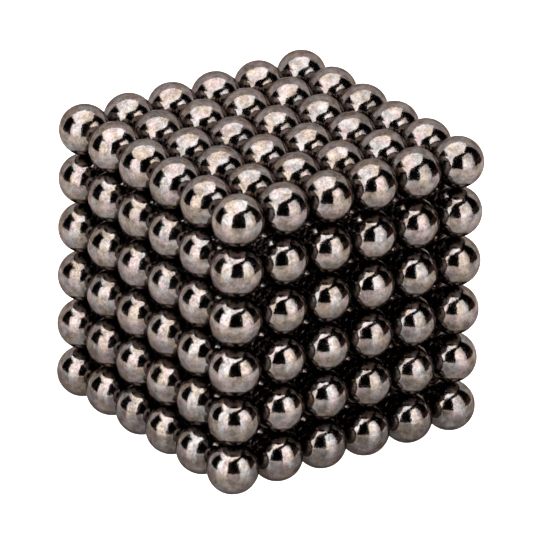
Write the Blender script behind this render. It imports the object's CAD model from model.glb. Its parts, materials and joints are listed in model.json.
# %% [markdown]
# # A desk cube of magnet balls
#
# The object is a toy for a desk: 216 magnet balls, each 5 mm across, which hold each other in a cube
# of six by six by six. There is nothing else to it, no base, no tray and no cord, so this lesson has
# three subjects: one well-made ball, a plating that looks like black nickel, and a small light tent,
# because a polished ball is a mirror and shows little more than the room it stands in.
#
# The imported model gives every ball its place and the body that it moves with. Blender counts in
# metres, so a length that is easier to read in millimetres is written as a number times MM.

import json
import math

import bpy
from mathutils import Matrix, Vector


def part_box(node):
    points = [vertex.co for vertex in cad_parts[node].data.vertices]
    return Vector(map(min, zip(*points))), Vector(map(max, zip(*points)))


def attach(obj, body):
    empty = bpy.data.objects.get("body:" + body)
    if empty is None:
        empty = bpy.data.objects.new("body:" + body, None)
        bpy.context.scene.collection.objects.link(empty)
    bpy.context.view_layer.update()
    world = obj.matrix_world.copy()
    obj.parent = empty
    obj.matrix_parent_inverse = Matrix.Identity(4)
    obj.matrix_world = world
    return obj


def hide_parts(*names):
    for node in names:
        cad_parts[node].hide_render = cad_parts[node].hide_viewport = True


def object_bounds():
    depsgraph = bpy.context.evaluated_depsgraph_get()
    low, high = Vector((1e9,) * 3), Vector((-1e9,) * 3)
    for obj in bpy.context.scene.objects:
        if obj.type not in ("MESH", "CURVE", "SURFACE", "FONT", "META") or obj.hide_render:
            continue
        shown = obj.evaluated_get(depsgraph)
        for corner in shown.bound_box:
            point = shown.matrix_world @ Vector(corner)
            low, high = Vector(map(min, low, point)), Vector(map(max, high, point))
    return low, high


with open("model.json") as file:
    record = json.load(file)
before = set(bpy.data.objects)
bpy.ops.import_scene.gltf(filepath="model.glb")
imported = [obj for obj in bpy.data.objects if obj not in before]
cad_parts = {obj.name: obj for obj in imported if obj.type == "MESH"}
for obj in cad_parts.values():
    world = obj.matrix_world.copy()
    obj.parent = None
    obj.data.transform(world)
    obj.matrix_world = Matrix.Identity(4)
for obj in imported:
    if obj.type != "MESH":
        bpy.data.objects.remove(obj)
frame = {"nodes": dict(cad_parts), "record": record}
cad_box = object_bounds()
bpy.ops.object.select_all(action="DESELECT")
MM = 0.001
cube_middle = (cad_box[0] + cad_box[1]) / 2
print("cube", [round(side / MM, 2) for side in cad_box[1] - cad_box[0]], "mm")

# %% [markdown]
# ## Where the camera stands
#
# The cube is seen from a little above, with one upright edge towards us and the face on its right
# turned more to the front. A long lens from half a metre away keeps the rows of balls nearly
# parallel, as is usual for small goods. The camera is tilted by a degree and a half, as one held by
# hand is, and it aims at a point a little to the right of the cube's middle and a little below it.
#
# Two directions are kept from here on, because the lights are placed by them: one points over the
# desk from the cube towards the camera, and the other points to the camera's right.

# %% Camera
CAMERA_TURN = math.radians(-35.97)
CAMERA_RISE = math.radians(24.39)
CAMERA_TILT = math.radians(1.37)
CAMERA_DISTANCE = 558 * MM
LENS = 384
AIM_RIGHT = 0.75 * MM
AIM_DOWN = 0.73 * MM

to_camera = Vector((math.sin(CAMERA_TURN), -math.cos(CAMERA_TURN), 0))
to_right = Vector((math.cos(CAMERA_TURN), math.sin(CAMERA_TURN), 0))
back = to_camera * math.cos(CAMERA_RISE) + Vector((0, 0, math.sin(CAMERA_RISE)))
up = back.cross(to_right)

camera_data = bpy.data.cameras.new("camera")
camera_data.lens = LENS
camera = bpy.data.objects.new("camera", camera_data)
bpy.context.scene.collection.objects.link(camera)
bpy.context.scene.camera = camera
camera.location = cube_middle + back * CAMERA_DISTANCE + to_right * AIM_RIGHT - up * AIM_DOWN
level = Matrix((to_right, up, back)).transposed()
camera.rotation_euler = (level @ Matrix.Rotation(CAMERA_TILT, 3, "Z")).to_euler()
print("camera at", [round(c / MM) for c in camera.location], "mm")

# %% [markdown]
# ## Reading the balls' places
#
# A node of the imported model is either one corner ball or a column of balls, one above the other with
# a hair of air between them. One corner ball tells the diameter, and the tallest node tells how far
# apart the balls of a column are. From these two, every node's box gives the middle of each of its
# balls.

# %% Measure the grid
def size_of(node):
    """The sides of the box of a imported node."""
    low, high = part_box(node)
    return high - low


ball_d = min(size_of(node).z for node in frame["nodes"])
tallest = max(size_of(node).z for node in frame["nodes"])
layers = int(tallest / ball_d + 0.5)
pitch = (tallest - ball_d) / (layers - 1)
print(f"balls {ball_d / MM:.2f} mm across, {pitch / MM:.2f} mm apart, {layers} in a column")


# %% Find the middle of every ball
def ball_middles(node):
    """The middles of the balls of one node, from the top down."""
    low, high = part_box(node)
    count = 1 + round((high.z - low.z - ball_d) / pitch)
    top = Vector(((low.x + high.x) / 2, (low.y + high.y) / 2, high.z - ball_d / 2))
    return [top - Vector((0, 0, pitch * step)) for step in range(count)]


bodies = frame["record"]["behaviour"]["bodies"]
body_of = {node: body for body, nodes in bodies.items() for node in nodes}
print(sum(len(ball_middles(node)) for node in body_of), "balls in", len(body_of), "nodes")

# %% [markdown]
# ## A short way to write shaders
#
# A material is a net of nodes. Written out node by node it is long and hard to read, so one small
# class wraps an output socket. A sum or a product of two wrapped values adds the Math node for it,
# and `node` makes any other node from its type, its settings and what goes into its sockets.

# %% The wire class
class Wire:
    """One output socket of the material that is being made."""

    def __init__(self, socket):
        self.socket = socket
        self.tree = socket.id_data

    def node(self, kind, settings=None, output=0, **inputs):
        made = self.tree.nodes.new("ShaderNode" + kind)
        for name, value in (settings or {}).items():
            setattr(made, name, value)
        for name, value in inputs.items():
            wanted = name.replace("_", " ")
            socket = next(s for s in made.inputs if s.enabled and s.name == wanted)
            if isinstance(value, Wire):
                self.tree.links.new(value.socket, socket)
            else:
                socket.default_value = value
        outputs = [s for s in made.outputs if s.enabled]
        return Wire(outputs[output])

    def math(self, operation, left, right):
        made = self.tree.nodes.new("ShaderNodeMath")
        made.operation = operation
        for socket, value in zip(made.inputs, (left, right)):
            if isinstance(value, Wire):
                self.tree.links.new(value.socket, socket)
            else:
                socket.default_value = value
        return Wire(made.outputs[0])

    def __add__(self, other):
        return self.math("ADD", self, other)

    def __radd__(self, other):
        return self.math("ADD", other, self)

    def __sub__(self, other):
        return self.math("SUBTRACT", self, other)

    def __rsub__(self, other):
        return self.math("SUBTRACT", other, self)

    def __mul__(self, other):
        return self.math("MULTIPLY", self, other)

    def __rmul__(self, other):
        return self.math("MULTIPLY", other, self)


# %% Helpers for patterns
def noise(place, size, detail=2, roughness=0.5):
    """Cloudy noise whose blotches are about size millimetres across, on a place in millimetres."""
    return place.node("TexNoise", Vector=place, Scale=1 / size, Detail=detail, Roughness=roughness)


def fade(value, low, high, start=0, end=1):
    """A soft step: start below low, end above high."""
    return value.node("MapRange", {"interpolation_type": "SMOOTHSTEP"}, Value=value, From_Min=low,
                      From_Max=high, To_Min=start, To_Max=end)


def blend(mask, first, second):
    """The first colour where the mask is 0 and the second where it is 1."""
    return mask.node("Mix", {"data_type": "RGBA"}, Factor=mask, A=first, B=second)


def vector_math(operation, place, by=None, scale=None):
    """One Vector Math node on a place, with a second vector or a scale where it takes one."""
    made = place.tree.nodes.new("ShaderNodeVectorMath")
    made.operation = operation
    place.tree.links.new(place.socket, made.inputs[0])
    if isinstance(by, Wire):
        place.tree.links.new(by.socket, made.inputs[1])
    elif by is not None:
        made.inputs[1].default_value = by
    if scale is not None:
        made.inputs["Scale"].default_value = scale
    return Wire(next(s for s in made.outputs if s.enabled))


def moved(place, x, y, z):
    """The same place in another part of an endless pattern."""
    return vector_math("ADD", place, by=(x, y, z))


# %% [markdown]
# ## Black nickel plating
#
# The magnets are plated with a thin dark nickel and tumbled until they shine. Seen close, the shine
# is a smoky mirror: it gives back about an eighth of the light, a little warmer than it came, and it
# stays dark out to the rim. One metallic shader does that: its base colour is what comes back from
# the front, and its specular tint is what comes back at a glance.

# %% Start the plating
RIM_TINT = (0.44, 0.42, 0.42, 1)

plating = bpy.data.materials.new("black_nickel")
plating.use_nodes = True
plating_shader = plating.node_tree.nodes["Principled BSDF"]
plating_shader.inputs["Metallic"].default_value = 1
plating_shader.inputs["Specular Tint"].default_value = RIM_TINT
position = Wire(plating.node_tree.nodes.new("ShaderNodeTexCoord").outputs["Object"])
print("started", plating.name)

# %% [markdown]
# ## A pattern for every ball
#
# Each ball needs a pattern of its own. The balls stand on a regular grid, so the grid square that a
# point lies in, rounded down, is the same for a whole ball and for no other. White noise turns that
# into a random number, and into a random shift that moves the ball to another part of an endless
# pattern. The places that come out are in millimetres, so that the sizes of blotches are easy to
# read.

# %% Place in the pattern
LONGEST_SHIFT = 90

half_gap = (pitch - ball_d) / 2
grid_corner = cad_box[0] - Vector((half_gap, half_gap, half_gap))
square = vector_math("SCALE", vector_math("SUBTRACT", position, by=grid_corner), scale=1 / pitch)
address = vector_math("FLOOR", square)
chance = address.node("TexWhiteNoise", {"noise_dimensions": "3D"}, Vector=address)
shift = address.node("TexWhiteNoise", {"noise_dimensions": "3D"}, output=1, Vector=address)
far_shift = vector_math("SCALE", shift, scale=LONGEST_SHIFT)
skin = vector_math("ADD", vector_math("SCALE", position, scale=1 / MM), by=far_shift)
print("each ball's pattern is shifted by up to", LONGEST_SHIFT, "mm along each axis")

# %% [markdown]
# ## Colour of the plating
#
# Tumbling leaves soft clouds about a millimetre across and finer freckles on them, some a touch rosy
# and some a touch brown, as thin nickel has. Tiny pits show as dark dots. All of them are noise at
# their own size, shifted so that they don't line up. Noise runs from 0 to 1 and mostly keeps near the
# middle, so a wide fade across the middle gives clouds, a narrow one gives patches, and one at the
# low end, turned round, leaves only dots.
#
# Clouds and freckles change how light the metal is, brown places are a little darker as well, and
# the two tints are laid over the grey with soft masks.

# %% Blotches, with their sizes in millimetres
CLOUD_SIZE = 0.8
FRECKLE_SIZE = 0.22
ROSY_SIZE = 1.3
BROWN_SIZE = 1.4
PIT_SIZE = 0.14

clouds = fade(noise(skin, CLOUD_SIZE, detail=4, roughness=0.6), 0.3, 0.7)
freckles = fade(noise(moved(skin, 3, 19, 8), FRECKLE_SIZE, detail=3, roughness=0.6), 0.3, 0.7)
rosy = fade(noise(moved(skin, 11, 5, 17), ROSY_SIZE, detail=4), 0.44, 0.58)
brown = fade(noise(moved(skin, 31, 7, 3), BROWN_SIZE, detail=4), 0.46, 0.6)
pits = fade(noise(moved(skin, 5, 43, 29), PIT_SIZE, detail=1), 0.26, 0.34, 1, 0)
print("clouds are", round(ball_d / MM / CLOUD_SIZE, 1), "to a ball, freckles",
      round(ball_d / MM / FRECKLE_SIZE, 1))

# %% Colour
GREY = (0.129, 0.121, 0.118, 1)
ROSE = (0.148, 0.105, 0.102, 1)
BROWN = (0.136, 0.110, 0.086, 1)
ROSE_COVER = 0.55
BROWN_COVER = 0.75

tint = blend(brown * BROWN_COVER, blend(rosy * ROSE_COVER, GREY, ROSE), BROWN)
shade = 0.46 + 0.70 * clouds + 0.36 * freckles + 0.12 * chance - 0.3 * pits - 0.12 * brown
grey_shade = shade.node("CombineXYZ", X=shade, Y=shade, Z=shade)
colour = vector_math("MULTIPLY", tint, by=grey_shade)
plating.node_tree.links.new(colour.socket, plating_shader.inputs["Base Color"])
print("plating returns", GREY[0], "of red light,", GREY[2], "of blue")

# %% [markdown]
# ## Shine and surface
#
# The mirror is good but not perfect. It is a little duller where the clouds are light, and handling
# leaves hairlines: noise that is stretched along one direction, of which only the thin line where it
# passes through its middle value is kept. The direction turns from ball to ball. The surface is never
# quite flat, so a slow ripple and a fine grain go through a Bump node and make the edges of what the
# ball mirrors waver.

# %% Hairlines
HAIRLINE_WIDTH = 0.012
HAIRLINE_STRETCH = (5.0, 0.5, 5.0)
TURNED_ABOUT = (0.4, 0.7, 0.6)

stroke = skin.node("VectorRotate", {"rotation_type": "AXIS_ANGLE"}, Vector=skin, Axis=TURNED_ABOUT,
                   Angle=chance * math.tau)
stretched = stroke.node("Mapping", Vector=stroke, Scale=HAIRLINE_STRETCH)
from_middle = noise(stretched, 1.0, detail=1) - 0.5
hairline = fade(from_middle.math("ABSOLUTE", from_middle, 0), 0.0, HAIRLINE_WIDTH, 1, 0)
print("hairlines are drawn out", round(HAIRLINE_STRETCH[0] / HAIRLINE_STRETCH[1]), "times")

# %% Shine and bump
SMOOTHEST = 0.06
RIPPLE_SIZE = 0.5
RIPPLE_DEPTH = 0.016 * MM
GRAIN_SIZE = 0.16
GRAIN_DEPTH = 0.0026 * MM
HAIRLINE_DEPTH = 0.0008 * MM

roughness = SMOOTHEST + 0.07 * clouds + 0.08 * hairline + 0.1 * pits
ripple = noise(skin, RIPPLE_SIZE)
grain = noise(skin, GRAIN_SIZE)
height = RIPPLE_DEPTH * ripple + GRAIN_DEPTH * grain - HAIRLINE_DEPTH * hairline
bump = height.node("Bump", Strength=1.0, Distance=1.0, Height=height)
plating.node_tree.links.new(roughness.socket, plating_shader.inputs["Roughness"])
plating.node_tree.links.new(bump.socket, plating_shader.inputs["Normal"])
print("plating has", len(plating.node_tree.nodes), "nodes")

# %% [markdown]
# ## One ball
#
# A ball could start from a UV sphere, but that has two poles where the faces crowd together and
# pinch the shine. A cube that is subdivided and then blown up to a sphere has faces of nearly one
# size all round. What repeats this often should have few faces, but the round outlines of the balls
# are all that there is to see here. Twelve squares along each side of the cube give a circle of 48
# edges, which looks round even from close by. The sphere operator keeps the mean distance of the
# corners from the middle, so the ball is brought to its diameter afterwards.

# %% Model the ball
SQUARES_PER_SIDE = 12

bpy.ops.mesh.primitive_cube_add(size=ball_d)
ball = bpy.context.active_object
ball.name = "ball"
bpy.ops.object.mode_set(mode="EDIT")
bpy.ops.mesh.select_all(action="SELECT")
bpy.ops.mesh.subdivide(number_cuts=SQUARES_PER_SIDE - 1)
bpy.ops.transform.tosphere(value=1)
bpy.ops.object.mode_set(mode="OBJECT")
growth = ball_d / max(ball.dimensions)
bpy.ops.object.mode_set(mode="EDIT")
bpy.ops.transform.resize(value=(growth, growth, growth))
bpy.ops.object.mode_set(mode="OBJECT")
bpy.ops.object.shade_smooth()
ball.data.materials.append(plating)
print("one ball has", len(ball.data.polygons), "faces")
print("it is", round(max(ball.dimensions) / MM, 3), "mm across")

# %% [markdown]
# ## 216 balls
#
# The finished ball is copied to every place, and each copy has a mesh of its own, with its place in
# the mesh. No magnet is a perfect sphere after years of knocks, so each copy gets a Displace modifier
# that presses it in by a few hundredths of a millimetre, where a cloud texture says so. The texture
# is read where the ball lies, so every ball is worn in its own way, and pressing only inwards keeps
# the balls inside their size.
#
# The copies of one column are joined to one piece of six separate balls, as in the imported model. The
# piece rides on the body that its node belongs to, and stands for that node.

# %% Wear
WEAR_SIZE = 1.5 * MM
DEEPEST_WEAR = 0.03 * MM

tumbling = bpy.data.textures.new("tumbling", "CLOUDS")
tumbling.noise_scale = WEAR_SIZE
tumbling.noise_depth = 0
print("balls are pressed in by up to", round(DEEPEST_WEAR / MM, 3), "mm")


def magnet_at(middle):
    """A worn copy of the ball with its middle at this point."""
    magnet = ball.copy()
    magnet.data = ball.data.copy()
    magnet.data.transform(Matrix.Translation(middle))
    bpy.context.scene.collection.objects.link(magnet)
    bpy.context.view_layer.objects.active = magnet
    worn = magnet.modifiers.new("worn", "DISPLACE")
    worn.texture = tumbling
    worn.texture_coords = "LOCAL"
    worn.mid_level = 1
    worn.strength = DEEPEST_WEAR
    bpy.ops.object.modifier_apply(modifier="worn")
    return magnet


# %% Copy the ball to every place
for node in sorted(body_of):
    bpy.ops.object.select_all(action="DESELECT")
    magnets = [magnet_at(middle) for middle in ball_middles(node)]
    for magnet in magnets:
        magnet.select_set(True)
    if len(magnets) > 1:
        bpy.ops.object.join()
    piece = bpy.context.view_layer.objects.active
    piece.name = "magnets_" + node
    piece.data.name = piece.name
    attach(piece, body_of[node])
    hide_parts(node)

bpy.data.objects.remove(ball)

# %% [markdown]
# ## The light tent
#
# A polished ball mirrors everything round it, so the lights are what it looks like. Lamps in the air
# would give it small hard dots. Shiny goods are shown in a tent of white cloth and card instead, and
# every wall of that tent is one shape in the mirror. This tent is built the same way, from sheets
# that glow.
#
# Places are given over the desk from the middle of the cube: first the distance towards the camera,
# then the distance to its right, in millimetres. Only the floor is seen by the camera itself.

# %% Tent helpers
WARM_WHITE = (1, 0.95, 0.92)
MATT = 0.9


def on_desk(towards, right, height=0.0):
    """A point of the tent, from millimetres towards the camera, to its right and above the desk."""
    flat = (to_camera * towards + to_right * right) * MM
    return Vector((flat.x, flat.y, height * MM))


def stage_material(name, colour, glow, light=(1, 1, 1)):
    """A matt material that also glows by itself, in the colour of the light."""
    material = bpy.data.materials.new(name)
    material.use_nodes = True
    shader = material.node_tree.nodes["Principled BSDF"]
    shader.inputs["Base Color"].default_value = (colour, colour, colour, 1)
    shader.inputs["Roughness"].default_value = MATT
    shader.inputs["Specular IOR Level"].default_value = 0
    shader.inputs["Emission Color"].default_value = (*light, 1)
    shader.inputs["Emission Strength"].default_value = glow
    return material


def set_stage(name, material, seen=False):
    """Names the newest object, gives it its material and keeps it out of the object's own pieces."""
    made = bpy.context.active_object
    made.name = name
    made.data.materials.append(material)
    made.visible_camera = seen
    return made


# %% [markdown]
# ## The floor
#
# The cube stands on a sheet of lit white acrylic. It glows brighter than white, so the camera sees
# no shadow on it, and its gloss mirrors the foot of each panel, so the bright windows on the balls
# run on below the horizon. A lit sheet looks darker close to what stands on it, and the balls mirror
# that darker patch. So the glow fades towards the middle, but for rays that come straight from the
# camera it stays whole.

# %% Floor
FLOOR_SIDE = 20
FLOOR_GREY = 0.3
FLOOR_GLOW = 1.8
FLOOR_ROUGHNESS = 0.12
FLOOR_SPECULAR = 0.5
SHADE_START = 10 * MM
SHADE_END = 65 * MM
DEEPEST_SHADE = 0.22

acrylic = stage_material("lit_acrylic", FLOOR_GREY, FLOOR_GLOW, WARM_WHITE)
acrylic_tree = acrylic.node_tree
acrylic_shader = acrylic_tree.nodes["Principled BSDF"]
acrylic_shader.inputs["Roughness"].default_value = FLOOR_ROUGHNESS
acrylic_shader.inputs["Specular IOR Level"].default_value = FLOOR_SPECULAR
floor_place = Wire(acrylic_tree.nodes.new("ShaderNodeTexCoord").outputs["Object"])
from_cube = vector_math("LENGTH", floor_place)
near_cube = fade(from_cube, SHADE_START, SHADE_END, DEEPEST_SHADE, 1)
seen_floor = Wire(acrylic_tree.nodes.new("ShaderNodeLightPath").outputs["Is Camera Ray"])
floor_glow = FLOOR_GLOW * near_cube.math("MAXIMUM", near_cube, seen_floor)
acrylic_tree.links.new(floor_glow.socket, acrylic_shader.inputs["Emission Strength"])
bpy.ops.mesh.primitive_plane_add(size=FLOOR_SIDE)
floor = set_stage("floor", acrylic, seen=True)
print("floor is", round(floor.dimensions.x), "m wide and glows at", FLOOR_GLOW)

# %% [markdown]
# ## Panels and roof
#
# A bright standing panel on each side of the camera draws the two upright windows on every ball, and
# the gap that is left for the camera is the dark block between them. A bright cloth overhead draws
# the patch on top. Cloth is brightest where the lamps behind it stand, so the glow falls off towards
# the outer ends and a little towards the foot.

# %% Bright cloth
CLOTH_GLOW = 6.0
CLOTH_LIGHT = (1, 0.985, 0.98)
RIGHT_FADE = (80 * MM, 125 * MM)
LEFT_FADE = (-175 * MM, -120 * MM)
FOOT_FADE = (-5 * MM, 40 * MM)

bright_cloth = stage_material("bright_cloth", 0, CLOTH_GLOW, CLOTH_LIGHT)
cloth_tree = bright_cloth.node_tree
cloth_place = Wire(cloth_tree.nodes.new("ShaderNodeTexCoord").outputs["Object"])
cloth_height = cloth_place.node("SeparateXYZ", Vector=cloth_place, output=2)
across = vector_math("DOT_PRODUCT", cloth_place, by=to_right)
right_end = fade(across, *RIGHT_FADE, 1, 0.4)
left_end = fade(across, *LEFT_FADE, 0.5, 1)
foot = fade(cloth_height, *FOOT_FADE, 0.6, 1)
glow = CLOTH_GLOW * (right_end * left_end) * foot
cloth_tree.links.new(glow.socket, cloth_tree.nodes["Principled BSDF"].inputs["Emission Strength"])
print("cloth glows at", CLOTH_GLOW)


# %% Hang the cloth
def bright_sheet(name, corners):
    """A glowing sheet between these corners, which are in order round it."""
    bpy.ops.mesh.primitive_circle_add(vertices=len(corners), fill_type="NGON")
    sheet = set_stage(name, bright_cloth)
    for vertex, corner in zip(sheet.data.vertices, corners):
        vertex.co = on_desk(*corner)
    return sheet


ROOF_HEIGHT = 170
LEFT_PANEL = [(70, -155, 0), (102, -46, 0), (104, -40, 125), (60, -172, 130)]
RIGHT_PANEL = [(104, 52, 0), (36, 122, 0), (36, 122, 147), (104, 52, 117)]
ROOF = [(150, -50), (62, 74), (-85, 76), (-58, -165), (61, -166), (150, -141)]

bright_sheet("left_panel", LEFT_PANEL)
bright_sheet("right_panel", RIGHT_PANEL)
roof = bright_sheet("roof", [(*corner, ROOF_HEIGHT) for corner in ROOF])
print("roof of", len(roof.data.vertices), "corners at", ROOF_HEIGHT, "mm")

# %% [markdown]
# ## Card and paper
#
# Low black card round the tent gives the dark bands beside the windows. On the right it is brown and
# glows a little, as card does near a lamp. Tall pale paper behind gives the grey rims. Each is a
# stretch of a round wall: a cylinder without ends, of which the faces outside two angles are
# deleted. They show in mirrors only, and neither light the floor nor shade it.

# %% A stretch of round wall
WALL_FACES = 120


def curtain(name, radius, height, first_angle, last_angle, material):
    """Part of a round wall about the cube, between two angles that turn right from the camera."""
    bpy.ops.mesh.primitive_cylinder_add(vertices=WALL_FACES, radius=radius * MM, depth=height * MM,
                                        end_fill_type="NOTHING", location=(0, 0, height * MM / 2))
    bpy.ops.object.transform_apply(location=True)
    wall = set_stage(name, material)
    bpy.ops.object.mode_set(mode="EDIT")
    bpy.ops.mesh.select_mode(type="FACE")
    bpy.ops.mesh.select_all(action="DESELECT")
    bpy.ops.object.mode_set(mode="OBJECT")
    for face in wall.data.polygons:
        angle = math.degrees(math.atan2(face.center.dot(to_right), face.center.dot(to_camera)))
        face.select = (angle - first_angle) % 360 > (last_angle - first_angle) % 360
    bpy.ops.object.mode_set(mode="EDIT")
    bpy.ops.mesh.delete(type="FACE")
    bpy.ops.object.mode_set(mode="OBJECT")
    wall.visible_diffuse = False
    wall.visible_shadow = False
    return wall


# %% Card and paper
CARD_START, BROWN_START, CARD_END = -108, 80, 118
CARD_RADIUS, CARD_HEIGHT = 190, 60
PAPER_RADIUS, PAPER_HEIGHT = 195, 420
BLACK = 0.003
CARD_GLOW = 0.12
CARD_LIGHT = (1, 0.5, 0.38)
PAPER_GLOW = 1.7

black = stage_material("black_card", BLACK, 0)
warm_brown = stage_material("brown_card", 0, CARD_GLOW, CARD_LIGHT)
pale = stage_material("pale_paper", 0, PAPER_GLOW, WARM_WHITE)
card = curtain("black_card", CARD_RADIUS, CARD_HEIGHT, CARD_START, BROWN_START, black)
brown_card = curtain("brown_card", CARD_RADIUS, CARD_HEIGHT, BROWN_START, CARD_END, warm_brown)
paper = curtain("pale_paper", PAPER_RADIUS, PAPER_HEIGHT, CARD_END, CARD_START, pale)
for wall in (card, brown_card, paper):
    print(wall.name, "has", len(wall.data.polygons), "faces")

# %% [markdown]
# ## The room
#
# The room must do three things that one colour can't do: the camera sees white behind the floor, the
# floor gets a little even light, and the balls see a dark studio. The Light Path node tells which
# kind of ray is asking. The Standard view transform keeps white as white.

# %% World
SEEN_STRENGTH = 1.0
LIGHT_STRENGTH = 1.6

world = bpy.data.worlds.new("studio")
bpy.context.scene.world = world
world.use_nodes = True
ray = world.node_tree.nodes.new("ShaderNodeLightPath")
background = world.node_tree.nodes["Background"]
seen = Wire(ray.outputs["Is Camera Ray"])
lit = Wire(ray.outputs["Is Diffuse Ray"])
strength = SEEN_STRENGTH * seen + LIGHT_STRENGTH * lit
background.inputs["Color"].default_value = (1, 1, 1, 1)
world.node_tree.links.new(strength.socket, background.inputs["Strength"])
bpy.context.scene.view_settings.view_transform = "Standard"
print("the camera sees the room at", SEEN_STRENGTH, "and the floor is lit at", LIGHT_STRENGTH)
